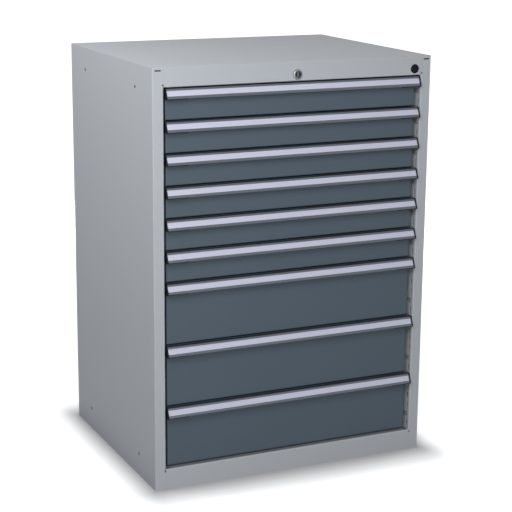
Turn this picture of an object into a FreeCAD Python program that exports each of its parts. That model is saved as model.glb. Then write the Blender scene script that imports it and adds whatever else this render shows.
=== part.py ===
"""Workshop drawer cabinet: a folded steel housing with nine full-extension drawers and one lock.

Millimetres, +Z up, the drawers open towards -Y, and the origin is the middle of the footprint.
"""

import FreeCAD, Part
import os

import Sketcher

Vector = FreeCAD.Vector
doc = FreeCAD.newDocument("drawer_cabinet")

# Driving dimensions: name, millimetres (degrees for a lean, a count for a number of drawers), meaning
SIZES = [
    # Housing
    ("width", 717, "outside of the side panels"),
    ("depth", 572, "front flanges to back"),
    ("plinth_high", 51, "plinth under the drawers"),
    ("header_high", 46, "header over the drawers"),
    ("panel", 1.5, "sheet of the housing"),
    ("bend", 3, "outer radius of the housing's folds"),
    ("flange", 27, "front flange of a side panel"),
    ("flange_return", 8, "how far the flange's edge is folded back"),
    ("relief", 3.6, "notch where a fold ends"),
    ("relief_past", 5, "how far the fold runs past the drawer opening"),
    ("rear_flange", 20, "rear flange of a side panel"),
    ("shelf_flange", 24, "top and bottom flange of a side panel"),
    ("back_sheet", 1, "sheet of the back panel"),
    ("header_fold", 20, "how far the header's edges are folded back"),
    ("plinth_fold", 30, "how far the plinth's top edge is folded back"),
    ("seam", 0.2, "joint line beside the header and the plinth"),
    ("top_soft", 0.6, "softened upper edge of the top panel"),
    ("join_across", 352, "joining holes, front to back"),
    ("join_end", 55, "joining holes from the top and bottom"),
    ("join_hole", 8.5, "diameter of a joining hole"),
    ("slot_long", 15, "slot at the top of a front flange"),
    ("slot_tall", 3, "height of that slot"),
    ("slot_drop", 8, "that slot below the top"),
    ("drain_wide", 10, "corner notch in the plinth's fold"),
    ("drain_deep", 6, "depth of that notch"),
    ("drain_in", 4, "that notch from the flange"),
    # Uprights
    ("upright_deep", 46, "perforated web of an upright"),
    ("upright_foot", 12, "foot welded to the side panel"),
    ("hole_pitch", 25, "pitch of the perforation"),
    ("hole_tall", 14, "height of a perforation"),
    ("hole_wide", 5, "width of a perforation"),
    ("hole_back", 14, "perforation behind the upright's front edge line"),
    # Drawers
    ("small_row", 75, "height taken by a small drawer"),
    ("big_row", 150, "height taken by a big drawer"),
    ("small_drawers", 6, "number of small drawers, at the top"),
    ("big_drawers", 3, "number of big drawers, under them"),
    ("row_gap", 3, "gap between drawer fronts"),
    ("front_recess", 12.5, "drawer fronts behind the flanges"),
    ("side_gap", 8.5, "between a drawer front and a flange"),
    ("front_deep", 16, "depth of the folded front"),
    ("front_bend", 2.5, "outer radius of the front's folds"),
    ("drawer_sheet", 1, "sheet of the drawers"),
    ("floor_lift", 3, "drawer floor above the front's bottom edge"),
    ("wall_drop", 14, "drawer walls below the front's top edge"),
    ("inside_deep", 459, "inside of a drawer, front to back"),
    ("rim", 4, "folded rim on the drawer walls"),
    # Telescopic slides
    ("slide_space", 26, "from a drawer wall to an upright"),
    ("slide_lift", 36, "slide's middle above the front's bottom edge"),
    ("rail_high", 36, "height of the fixed rail"),
    ("rail_lip", 14, "lips of the fixed rail"),
    ("rail_sheet", 1.5, "sheet of the slides"),
    ("rail_long", 490, "length of the fixed rail"),
    ("rail_behind", 2.5, "rail behind the drawer front"),
    ("bar_short", 10, "running bar shorter than the rail"),
    ("bar_reach", 7.5, "flange of the running bar, each side of its web"),
    ("bar_play", 2, "running bar inside the fixed rail"),
    ("roller_play", 0.4, "roller inside the running bar"),
    ("web_play", 0.6, "roller beside the running bar's web"),
    ("roller_in", 25, "roller from the end that it sits at"),
    ("hook_tall", 10, "hook of a rail"),
    ("hook_out", 4, "how far a hook reaches through the upright"),
    # Handles
    ("handle_top", 12, "depth of the handle's top wall"),
    ("handle_lean", 24, "lean of the label face, degrees"),
    ("handle_wall", 2, "top wall and rear leg"),
    ("handle_leg", 20, "height of the rear leg"),
    ("lip_top", 4.6, "lip over the label"),
    ("label_mouth", 13.2, "label face between the lips"),
    ("lip_low", 6.2, "lip under the label"),
    ("lip_thick", 0.7, "thickness of the lips at their edges"),
    ("tuck", 1, "how far the label goes under a lip"),
    ("groove", 1.1, "depth of the groove for the label"),
    ("face_wall", 3.2, "leaning wall, with its groove"),
    ("nose_round", 1.2, "rounded edges of the handle"),
    ("label_thick", 0.8, "label strip"),
    ("label_play", 0.15, "label strip in its groove"),
    ("cap_thick", 3, "end cap"),
    ("cap_over", 0.8, "end cap larger than the profile"),
    ("cap_gap", 3, "between an end cap and a flange"),
    ("tongue_long", 50, "tongue of an end cap under the lip"),
    ("tongue_tall", 1.2, "height of that tongue"),
    # Lock
    ("lock_drop", 30.5, "lock below the top"),
    ("ring_wide", 24, "rim of the lock cylinder"),
    ("ring_proud", 3.5, "that rim ahead of the header"),
    ("ring_taper", 1.5, "taper of that rim"),
    ("barrel_wide", 19, "barrel of the lock cylinder"),
    ("barrel_long", 28, "length of the barrel"),
    ("barrel_play", 0.2, "barrel in its hole"),
    ("core_wide", 14, "turning plug of the lock"),
    ("core_play", 0.3, "plug in the barrel"),
    ("core_sunk", 0.8, "plug behind the rim"),
    ("key_long", 8, "key slot"),
    ("key_wide", 1.8, "width of the key slot"),
    ("key_deep", 14, "depth of the key slot"),
    ("cam_wide", 16, "square plate behind the barrel"),
    ("cam_thick", 3, "thickness of that plate"),
    ("cam_gap", 0.5, "between the plate and the barrel"),
    ("pin_wide", 4, "eccentric pin"),
    ("pin_long", 9.5, "length of that pin"),
    ("pin_play", 0.5, "pin in the bar's slot"),
    ("lift", 9, "how far the locking bar rises"),
    ("blank_in", 18, "blanking plug from the flange"),
    ("blank_wide", 22, "head of the blanking plug"),
    ("blank_proud", 1.2, "thickness of that head"),
    ("blank_taper", 0.6, "taper of that head"),
    ("blank_body", 18.6, "its body"),
    ("blank_long", 8, "length of its body"),
    ("bar_behind", 36, "locking bar behind the flanges"),
    ("bar_sheet", 3, "thickness of the locking bar"),
    ("bar_wide", 15, "width of the locking bar"),
    ("bar_in", 6, "locking bar beyond the upright's inner face"),
    ("arm_tall", 16, "height of the bar's arm"),
    ("finger_tall", 4, "a finger of the bar"),
    ("finger_low", 3, "finger at rest below the front's bottom edge"),
    ("finger_out", 8, "finger inside the upright"),
    ("finger_play", 0.75, "finger in its slot"),
    ("catch_tall", 10, "catch on a drawer"),
    ("catch_thick", 2, "thickness of a catch"),
    ("catch_gap", 0.5, "catch behind its finger"),
    ("catch_clear", 1.5, "catch inside the flange's edge"),
    ("guide_high", 12, "guide of the locking bar"),
]

size = doc.addObject("Spreadsheet::Sheet", "size")
for row, (alias, number, meaning) in enumerate(SIZES, start=1):
    size.set(f"A{row}", meaning)
    size.set(f"B{row}", str(number))
    size.setAlias(f"B{row}", alias)
doc.recompute()


def value(expression):
    """The number that an expression on the sheet gives."""
    return float(size.evalExpression(expression))


# Places that follow from the driving dimensions, as expressions on the sheet
HALF = "(size.width / 2)"
OPENING = f"({HALF} - size.flange)"
FACE = "(size.lip_top + size.label_mouth + size.lip_low)"
REACH = (
    f"(size.handle_top + ({FACE} + size.cap_over) * sin(size.handle_lean)"
    " + size.cap_over * cos(size.handle_lean))"
)
FLANGE_Y = f"(-(size.depth - {REACH} + size.front_recess) / 2)"
BACK_Y = f"({FLANGE_Y} + size.depth)"
DRAWERS_HIGH = "(size.small_drawers * size.small_row + size.big_drawers * size.big_row)"
HEADER_Z = f"(size.plinth_high + {DRAWERS_HIGH} + size.row_gap)"
TOP_Z = f"({HEADER_Z} + size.header_high)"
UNDER_TOP = f"({TOP_Z} - size.panel)"
BASE_Z = "(size.plinth_high - size.panel)"
FRONT_HALF = f"({OPENING} - size.side_gap)"
FRONT_Y = f"({FLANGE_Y} + size.front_recess)"
FRONT_BACK_Y = f"({FRONT_Y} + size.front_deep)"
UPRIGHT_X = f"({OPENING} + size.panel)"
WALL_X = f"({UPRIGHT_X} - size.slide_space)"
TRAY_BACK_Y = f"({FRONT_BACK_Y} + size.inside_deep + 2 * size.drawer_sheet)"
RAIL_Y = f"({FRONT_BACK_Y} + size.rail_behind)"
RAIL_END_Y = f"({RAIL_Y} + size.rail_long)"
ROLLER_HALF = "(size.rail_high / 2 - 2 * size.rail_sheet - size.bar_play - size.roller_play)"
ROLLER_WIDE = "((size.slide_space - 3 * size.rail_sheet - 2 * size.web_play) / 2)"
FEW_SIDES = 12
CAP_X = f"({OPENING} - size.cap_gap)"
HANDLE_X = f"({CAP_X} - size.cap_thick)"
LOCK_Z = f"({TOP_Z} - size.lock_drop)"
LOCK_BAR_Y = f"({FLANGE_Y} + size.bar_behind)"
LOCK_BAR_X = f"({UPRIGHT_X} + size.bar_in)"
ECCENTRIC = "(size.lift / sqrt(2))"


def row_of(drawer):
    """Bottom and top edge of a drawer's front, counted from 1 at the top."""
    smalls = min(drawer, int(value("size.small_drawers")))
    bigs = drawer - smalls
    floor = f"({HEADER_Z} - {smalls} * size.small_row - {bigs} * size.big_row)"
    high = "size.big_row" if bigs else "size.small_row"
    return floor, f"({floor} + {high} - size.row_gap)"


DRAWERS = range(1, int(value("size.small_drawers + size.big_drawers")) + 1)


# Makers of document objects, each with its sizes bound to the sheet
def bound(thing, **expressions):
    """Binds properties such as Length, or x, y and z of the place, to expressions."""
    for name, expression in expressions.items():
        target = f"Placement.Base.{name}" if name in "xyz" else name
        thing.setExpression(target, expression)
    return thing


def block(name, x, y, z):
    """A box from a low to a high expression along each axis."""
    thing = doc.addObject("Part::Box", name)
    bound(thing, x=x[0], y=y[0], z=z[0])
    return bound(
        thing,
        Length=f"{x[1]} - ({x[0]})",
        Width=f"{y[1]} - ({y[0]})",
        Height=f"{z[1]} - ({z[0]})",
    )


def across(side, near, far):
    """The low and high expression along X of a span that is mirrored for the left side."""
    return (near, far) if side > 0 else (f"-({far})", f"-({near})")


def disc(name, radius, x, y, z, along, sides=0):
    """A cylinder or prism along X or Y: its span on that axis is a pair, the other places single."""
    thing = doc.addObject("Part::Prism" if sides else "Part::Cylinder", name)
    if sides:
        thing.Polygon = sides
    turn = Vector(0, 1, 0) if along == "X" else Vector(-1, 0, 0)
    thing.Placement = FreeCAD.Placement(Vector(), FreeCAD.Rotation(turn, 90))
    low, high = x if along == "X" else y
    start = (low, y, z) if along == "X" else (x, low, z)
    bound(thing, x=start[0], y=start[1], z=start[2], Height=f"{high} - ({low})")
    thing.setExpression("Circumradius" if sides else "Radius", radius)
    return thing


def taper(name, front_radius, back_radius, x, y, z):
    """A cone along Y, from its front radius at the low end."""
    thing = doc.addObject("Part::Cone", name)
    thing.Placement = FreeCAD.Placement(Vector(), FreeCAD.Rotation(Vector(-1, 0, 0), 90))
    bound(thing, x=x, y=y[0], z=z)
    return bound(thing, Radius1=front_radius, Radius2=back_radius, Height=f"{y[1]} - ({y[0]})")


def fuse(name, *things):
    """One solid of several that touch or overlap."""
    thing = doc.addObject("Part::MultiFuse", name)
    thing.Shapes = list(things)
    thing.Refine = True
    return thing


def cut(name, base, *tools):
    """A thing with others cut away."""
    thing = doc.addObject("Part::Cut", name)
    thing.Base = base
    thing.Tool = tools[0] if len(tools) == 1 else fuse(f"{name}_away", *tools)
    return thing


def group(name, *things):
    """Separate solids that share one node."""
    thing = doc.addObject("Part::Compound", name)
    thing.Links = list(things)
    return thing


def sketch(body, plane, offset="0"):
    """An empty sketch on one of the body's own planes, moved out by an expression."""
    drawing = body.newObject("Sketcher::SketchObject", f"{body.Name}_sketch")
    origin_plane = next(f for f in body.Origin.OriginFeatures if f.Role == plane)
    drawing.AttachmentSupport = [(origin_plane, "")]
    drawing.MapMode = "FlatFace"
    drawing.setExpression("AttachmentOffset.Base.z", offset)
    return drawing


def pin_point(drawing, line, corner):
    """Ties the start of a line to a pair of expressions, measured from the origin."""
    for kind, expression in zip(("DistanceX", "DistanceY"), corner):
        rule = Sketcher.Constraint(kind, -1, 1, line, 1, value(expression))
        number = drawing.addConstraint(rule)
        drawing.setExpression(f"Constraints[{number}]", expression)


def polygon(drawing, corners):
    """A closed outline through corners, each a pair of expressions."""
    places = [Vector(value(x), value(y), 0) for x, y in corners]
    first = drawing.GeometryCount
    count = len(corners)
    for i in range(count):
        drawing.addGeometry(Part.LineSegment(places[i], places[(i + 1) % count]), False)
    for i, corner in enumerate(corners):
        after = first + (i + 1) % count
        drawing.addConstraint(Sketcher.Constraint("Coincident", first + i, 2, after, 1))
        pin_point(drawing, first + i, corner)


def circle(drawing, centre, radius):
    """A circle whose centre and radius are expressions."""
    place = Vector(value(centre[0]), value(centre[1]), 0)
    line = drawing.addGeometry(Part.Circle(place, Vector(0, 0, 1), value(radius)), False)
    for kind, expression in zip(("DistanceX", "DistanceY"), centre):
        number = drawing.addConstraint(Sketcher.Constraint(kind, -1, 1, line, 3, value(expression)))
        drawing.setExpression(f"Constraints[{number}]", expression)
    number = drawing.addConstraint(Sketcher.Constraint("Radius", line, value(radius)))
    drawing.setExpression(f"Constraints[{number}]", radius)


def rectangle(drawing, x, y):
    """A rectangle from a low to a high expression along each sketch axis."""
    polygon(drawing, [(x[0], y[0]), (x[1], y[0]), (x[1], y[1]), (x[0], y[1])])


def pad(body, drawing, length, both_ways=False):
    """Adds the sketch's outline, pulled out by a length."""
    feature = body.newObject("PartDesign::Pad", f"{body.Name}_pad")
    feature.Profile = drawing
    feature.Midplane = both_ways
    feature.setExpression("Length", length)
    drawing.Visibility = False
    return feature


def pocket(body, drawing, length, both_ways=False, turned=False):
    """Cuts the sketch's outline away, and makes sure that something went."""
    before = body.Tip
    doc.recompute()
    volume = before.Shape.Volume
    feature = body.newObject("PartDesign::Pocket", f"{body.Name}_pocket")
    feature.Profile = drawing
    feature.Midplane = both_ways
    feature.Reversed = turned
    feature.setExpression("Length", length)
    doc.recompute()
    if not feature.Shape.Volume < volume:
        raise RuntimeError(f"{feature.Label} cuts nothing")
    return feature


def edges_at(shape, along, **places):
    """Names of the straight edges along an axis whose middle is at the given x, y or z."""
    found = []
    for number, edge in enumerate(shape.Edges, start=1):
        if len(edge.Vertexes) != 2 or edge.Curve.TypeId != "Part::GeomLine":
            continue
        if abs(getattr(edge.tangentAt(edge.FirstParameter), along)) < 0.999:
            continue
        middle = edge.CenterOfMass
        if all(abs(getattr(middle, axis) - place) < 0.01 for axis, place in places.items()):
            found.append(f"Edge{number}")
    return found


def fillet(body, edges, radius):
    """Rounds edges of the body's last feature."""
    feature = body.newObject("PartDesign::Fillet", f"{body.Name}_fillet")
    feature.Base = (feature.BaseFeature, edges)
    feature.setExpression("Radius", radius)
    doc.recompute()
    return feature


parts = {}


def new_part(name, thing):
    """Keeps a finished sub-part under the name of its node."""
    thing.Label = name
    parts[name] = thing
    return thing


# Side panels: a folded pan with front, rear, top and bottom flanges
def side_panel(name, side):
    body = doc.addObject("PartDesign::Body", name)

    def mirrored(x):
        return f"({side} * ({x}))"

    wall = sketch(body, "XY_Plane")
    rear_edge = f"({HALF} - size.rear_flange)"
    inside = f"({HALF} - size.panel)"
    section = [
        (OPENING, FLANGE_Y),
        (HALF, FLANGE_Y),
        (HALF, BACK_Y),
        (rear_edge, BACK_Y),
        (rear_edge, f"{BACK_Y} - size.panel"),
        (inside, f"{BACK_Y} - size.panel"),
        (inside, f"{FLANGE_Y} + size.panel"),
        (OPENING, f"{FLANGE_Y} + size.panel"),
    ]
    polygon(wall, [(mirrored(x), y) for x, y in section])
    pad(body, wall, UNDER_TOP)
    doc.recompute()
    outer_x, edge_x = side * value(HALF), side * value(OPENING)
    front_y, back_y = value(FLANGE_Y), value(BACK_Y)
    edges = edges_at(body.Tip.Shape, "z", x=outer_x, y=front_y)
    edges += edges_at(body.Tip.Shape, "z", x=outer_x, y=back_y)
    fillet(body, edges, "size.bend")

    for offset in ("0", f"{UNDER_TOP} - size.panel"):
        flange = sketch(body, "XY_Plane", offset)
        reach = across(side, f"{HALF} - size.shelf_flange", inside)
        rectangle(flange, reach, (f"{FLANGE_Y} + size.panel", f"{BACK_Y} - size.panel"))
        pad(body, flange, "size.panel")

    fold_low = "(size.plinth_high - size.relief_past)"
    fold_high = f"({HEADER_Z} + size.relief_past)"
    fold = sketch(body, "XY_Plane", fold_low)
    edge = across(side, OPENING, UPRIGHT_X)
    rectangle(fold, edge, (f"{FLANGE_Y}", f"{FLANGE_Y} + size.flange_return"))
    pad(body, fold, f"{fold_high} - {fold_low}")

    # Relief notches where the fold ends, and the slot at the top of the flange
    front = sketch(body, "XZ_Plane", f"-({FLANGE_Y}) + 1")
    notch = across(side, f"{OPENING} - 1", f"{OPENING} + size.relief")
    for z in (f"{fold_low} - size.relief / 2", f"{fold_high} - size.relief / 2"):
        rectangle(front, notch, (z, f"{z} + size.relief"))
    middle = f"({HALF} - size.flange / 2)"
    long = across(side, f"{middle} - size.slot_long / 2", f"{middle} + size.slot_long / 2")
    high = f"({TOP_Z} - size.slot_drop)"
    rectangle(front, long, (f"{high} - size.slot_tall / 2", f"{high} + size.slot_tall / 2"))
    pocket(body, front, "size.flange_return + 2")

    # Holes for bolting cabinets side by side
    holes = sketch(body, "YZ_Plane", mirrored(HALF) + f" + {side}")
    centre = f"({FLANGE_Y} + size.depth / 2)"
    for y in (f"{centre} - size.join_across / 2", f"{centre} + size.join_across / 2"):
        for z in ("size.join_end", f"{TOP_Z} - size.join_end"):
            circle(holes, (y, z), "size.join_hole / 2")
    pocket(body, holes, "size.panel + 2", turned=side < 0)

    # Rounded edge of the fold
    middle_z = value(f"({fold_low} + {fold_high}) / 2")
    fillet(body, edges_at(body.Tip.Shape, "z", x=edge_x, y=front_y, z=middle_z), "size.bend")
    return new_part(name, body)


side_panel("side_panel_left", -1)
side_panel("side_panel_right", 1)


# Back, top and base panels
SHEET_X = f"({HALF} - size.bend)"
back = block(
    "back_panel",
    (f"-{SHEET_X}", SHEET_X),
    (f"{BACK_Y} - size.panel - size.back_sheet", f"{BACK_Y} - size.panel"),
    ("size.panel", f"{UNDER_TOP} - size.panel"),
)
new_part("back_panel", back)

base = block(
    "base_panel",
    (f"-{SHEET_X}", SHEET_X),
    (f"{FLANGE_Y} + size.flange_return + 1", f"{BACK_Y} - size.panel - size.back_sheet"),
    (f"{BASE_Z} - size.panel", BASE_Z),
)
new_part("base_panel", base)

top = doc.addObject("PartDesign::Body", "top_panel")
plate = sketch(top, "XY_Plane", UNDER_TOP)
rectangle(plate, (f"-{HALF}", HALF), (FLANGE_Y, BACK_Y))
pad(top, plate, "size.panel")
doc.recompute()
fillet(top, edges_at(top.Tip.Shape, "z"), "size.bend")
rim_edges = [
    f"Edge{number}"
    for number, edge in enumerate(top.Tip.Shape.Edges, start=1)
    if edge.BoundBox.ZMin > value(TOP_Z) - 0.01
]
softened = top.newObject("PartDesign::Chamfer", "top_chamfer")
softened.Base = (softened.BaseFeature, rim_edges)
softened.setExpression("Size", "size.top_soft")
new_part("top_panel", top)


# Header and plinth: folded fronts between the flanges
def folded_front(name, low, high, long_fold, short_fold, long_is_low):
    body = doc.addObject("PartDesign::Body", name)
    low_fold, high_fold = (long_fold, short_fold) if long_is_low else (short_fold, long_fold)
    inner = f"({FLANGE_Y} + size.panel)"
    section = [
        (FLANGE_Y, low),
        (f"{FLANGE_Y} + {low_fold}", low),
        (f"{FLANGE_Y} + {low_fold}", f"{low} + size.panel"),
        (inner, f"{low} + size.panel"),
        (inner, f"{high} - size.panel"),
        (f"{FLANGE_Y} + {high_fold}", f"{high} - size.panel"),
        (f"{FLANGE_Y} + {high_fold}", high),
        (FLANGE_Y, high),
    ]
    drawing = sketch(body, "YZ_Plane")
    polygon(drawing, section)
    pad(body, drawing, f"2 * ({OPENING} - size.seam)", both_ways=True)
    doc.recompute()
    return body


header = folded_front(
    "header_panel", HEADER_Z, UNDER_TOP, "size.header_fold", "(size.header_fold * 0.75)", True
)
openings = sketch(header, "XZ_Plane", f"-({FLANGE_Y}) + 1")
circle(openings, ("0", LOCK_Z), "size.barrel_wide / 2 + size.barrel_play")
BLANK_X = f"({OPENING} - size.blank_in)"
circle(openings, (BLANK_X, LOCK_Z), "size.blank_body / 2 + size.barrel_play")
pocket(header, openings, "size.panel + 2")
bend_edges = edges_at(header.Tip.Shape, "x", y=value(FLANGE_Y), z=value(HEADER_Z))
fillet(header, bend_edges, "size.bend")
new_part("header_panel", header)

plinth = folded_front(
    "plinth_panel", "0", "size.plinth_high", "size.plinth_fold", "size.header_fold", False
)
drains = sketch(plinth, "XY_Plane", "size.plinth_high + 1")
for side in (-1, 1):
    outer = f"({side} * ({OPENING} - size.drain_in))"
    inner = f"({side} * ({OPENING} - size.drain_in - size.drain_wide))"
    tip = f"(({outer} + {inner}) / 2)"
    front = f"({FLANGE_Y} + size.bend + size.seam)"
    rear = f"({front} + size.drain_deep)"
    polygon(drains, [(outer, rear), (inner, rear), (tip, front)])
pocket(plinth, drains, "size.panel + 2")
bend_edges = edges_at(plinth.Tip.Shape, "x", y=value(FLANGE_Y), z=value("size.plinth_high"))
fillet(plinth, bend_edges, "size.bend")
new_part("plinth_panel", plinth)


# Uprights: perforated Z-sections that carry the slides
UPRIGHT_TOP = f"({HEADER_Z} - size.panel - size.row_gap)"
FRONT_UPRIGHT_Y = f"({FLANGE_Y} + size.bend + size.seam)"
REAR_UPRIGHT_Y = f"({RAIL_END_Y} - size.upright_deep + size.hole_wide)"
SLIDE_Z = f"({row_of(DRAWERS[-1])[0]} + size.slide_lift)"


def upright(name, side, front_y, pitch, fingers=False):
    body = doc.addObject("PartDesign::Body", name)
    end_y = f"({front_y} + size.upright_deep)"
    wall = f"({HALF} - size.panel)"
    section = [
        (UPRIGHT_X, front_y),
        (f"{UPRIGHT_X} + size.panel", front_y),
        (f"{UPRIGHT_X} + size.panel", f"{end_y} - size.panel"),
        (wall, f"{end_y} - size.panel"),
        (wall, f"{end_y} + size.upright_foot"),
        (f"{wall} - size.panel", f"{end_y} + size.upright_foot"),
        (f"{wall} - size.panel", end_y),
        (UPRIGHT_X, end_y),
    ]
    drawing = sketch(body, "XY_Plane", BASE_Z)
    polygon(drawing, [(f"({side} * ({x}))", y) for x, y in section])
    pad(body, drawing, f"{UPRIGHT_TOP} - {BASE_Z}")

    if fingers:
        slots = sketch(body, "YZ_Plane", f"{side} * ({UPRIGHT_X}) - {side}")
        y = (f"{LOCK_BAR_Y} - size.finger_play", f"{LOCK_BAR_Y} + size.bar_sheet + size.finger_play")
        for drawer in DRAWERS:
            low = f"({row_of(drawer)[0]} - size.finger_low - size.finger_play)"
            high = f"({low} + size.finger_tall + size.lift + 2 * size.finger_play)"
            rectangle(slots, y, (low, high))
        pocket(body, slots, "size.panel + 2", turned=side > 0)

    holes = sketch(body, "YZ_Plane", f"{side} * ({UPRIGHT_X}) - {side}")
    y = f"({front_y} - size.bend - size.seam + size.hole_back)"
    z = f"({SLIDE_Z} - (ceil(({SLIDE_Z} - {BASE_Z}) / {pitch}) - 1) * {pitch})"
    rectangle(
        holes,
        (f"{y} - size.hole_wide / 2", f"{y} + size.hole_wide / 2"),
        (f"{z} - size.hole_tall / 2", f"{z} + size.hole_tall / 2"),
    )
    first = pocket(body, holes, "size.panel + 2", turned=side > 0)
    pattern = body.newObject("PartDesign::LinearPattern", f"{name}_pattern")
    pattern.Originals = [first]
    pattern.Direction = (holes, ["V_Axis"])
    count = f"(floor(({UPRIGHT_TOP} - size.hole_tall / 2 - {z}) / {pitch}) + 1)"
    pattern.setExpression("Occurrences", count)
    pattern.setExpression("Length", f"({count} - 1) * {pitch}")
    body.Tip = pattern
    doc.recompute()
    return body


for side, word in ((-1, "left"), (1, "right")):
    front = upright(f"front_upright_{word}", side, FRONT_UPRIGHT_Y, "size.hole_pitch", side > 0)
    rear = upright(f"rear_upright_{word}", side, REAR_UPRIGHT_Y, "size.small_row")
    pieces = [rear]
    if side > 0:
        # Guides that hold the locking bar against the upright
        web = f"({UPRIGHT_X} + size.panel)"
        wall = f"({HALF} - size.panel)"
        ahead = (f"{LOCK_BAR_Y} - size.catch_gap - size.panel", f"{LOCK_BAR_Y} - size.catch_gap")
        behind = f"({LOCK_BAR_Y} + size.bar_sheet + size.catch_gap)"
        guides = [front]
        for share in (0.2, 0.8):
            low = f"({BASE_Z} + {share} * ({UPRIGHT_TOP} - {BASE_Z}))"
            z = (low, f"{low} + size.guide_high")
            guides.append(block("guide_front", (web, wall), ahead, z))
            guides.append(block("guide_rear", (web, wall), (behind, f"{behind} + size.panel"), z))
        front = fuse("front_upright_guided", *guides)
    new_part(f"uprights_{word}", group(f"uprights_{word}", front, rear))


# Fixed rails, hooked into the uprights, each with a roller at its front end
def roller(name, side, near, y, z):
    """A roller on an axis along X, drawn with few sides because there are many of them."""
    span = across(side, near, f"{near} + {ROLLER_WIDE}")
    return disc(name, ROLLER_HALF, span, y, z, "X", FEW_SIDES)


def fixed_rail(side, drawer):
    z = f"({row_of(drawer)[0]} + size.slide_lift)"
    low, high = f"({z} - size.rail_high / 2)", f"({z} + size.rail_high / 2)"
    mouth = f"({UPRIGHT_X} - size.rail_lip)"
    web = f"({UPRIGHT_X} - size.rail_sheet)"
    outside = block("rail", across(side, mouth, UPRIGHT_X), (RAIL_Y, RAIL_END_Y), (low, high))
    inside = block(
        "rail_channel",
        across(side, f"{mouth} - 1", web),
        (f"{RAIL_Y} - 1", f"{RAIL_END_Y} + 1"),
        (f"{low} + size.rail_sheet", f"{high} - size.rail_sheet"),
    )
    channel = cut("rail_section", outside, inside)
    slot_y = f"({FLANGE_Y} + size.hole_back)"
    tab_z = (f"{z} - size.hook_tall / 2", f"{z} + size.hook_tall / 2")
    slot_front = f"({slot_y} - size.rail_sheet / 2)"
    tab = block("hook_arm", across(side, web, UPRIGHT_X), (slot_front, RAIL_Y), tab_z)
    hook = block(
        "hook",
        across(side, web, f"{UPRIGHT_X} + size.hook_out"),
        (slot_front, f"{slot_front} + size.rail_sheet"),
        tab_z,
    )
    rail = fuse(f"rail_{drawer}", channel, tab, hook)
    wheel = roller("rail_roller", side, f"{web} - {ROLLER_WIDE}", f"{RAIL_Y} + size.roller_in", z)
    return [rail, wheel]


for side, word in ((-1, "left"), (1, "right")):
    rails = [piece for drawer in DRAWERS for piece in fixed_rail(side, drawer)]
    new_part(f"slide_rails_{word}", group(f"slide_rails_{word}", *rails))


# Running bars: an I-section between the fixed rail and the drawer
def running_bar(side, z):
    half = f"(size.rail_high / 2 - size.rail_sheet - size.bar_play)"
    web = f"({WALL_X} + size.rail_sheet + {ROLLER_WIDE} + size.web_play)"
    y = (f"{RAIL_Y} + size.rail_sheet", f"{RAIL_END_Y} - size.bar_short")
    flanges = across(side, f"{web} - size.bar_reach", f"{web} + size.rail_sheet + size.bar_reach")
    solid = block("bar", flanges, y, (f"{z} - {half}", f"{z} + {half}"))
    longer = (f"{y[0]} - 1", f"{y[1]} + 1")
    inner = (f"{z} - {half} + size.rail_sheet", f"{z} + {half} - size.rail_sheet")
    near = across(side, f"{web} - size.bar_reach - 1", web)
    far = across(side, f"{web} + size.rail_sheet", f"{web} + size.rail_sheet + size.bar_reach + 1")
    channels = [block("bar_channel", span, longer, inner) for span in (near, far)]
    return cut("running_bar", solid, *channels)


for drawer in DRAWERS:
    z = f"({row_of(drawer)[0]} + size.slide_lift)"
    name = f"drawer_{drawer}_slide_bars"
    new_part(name, group(name, *[running_bar(side, z) for side in (-1, 1)]))


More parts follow.
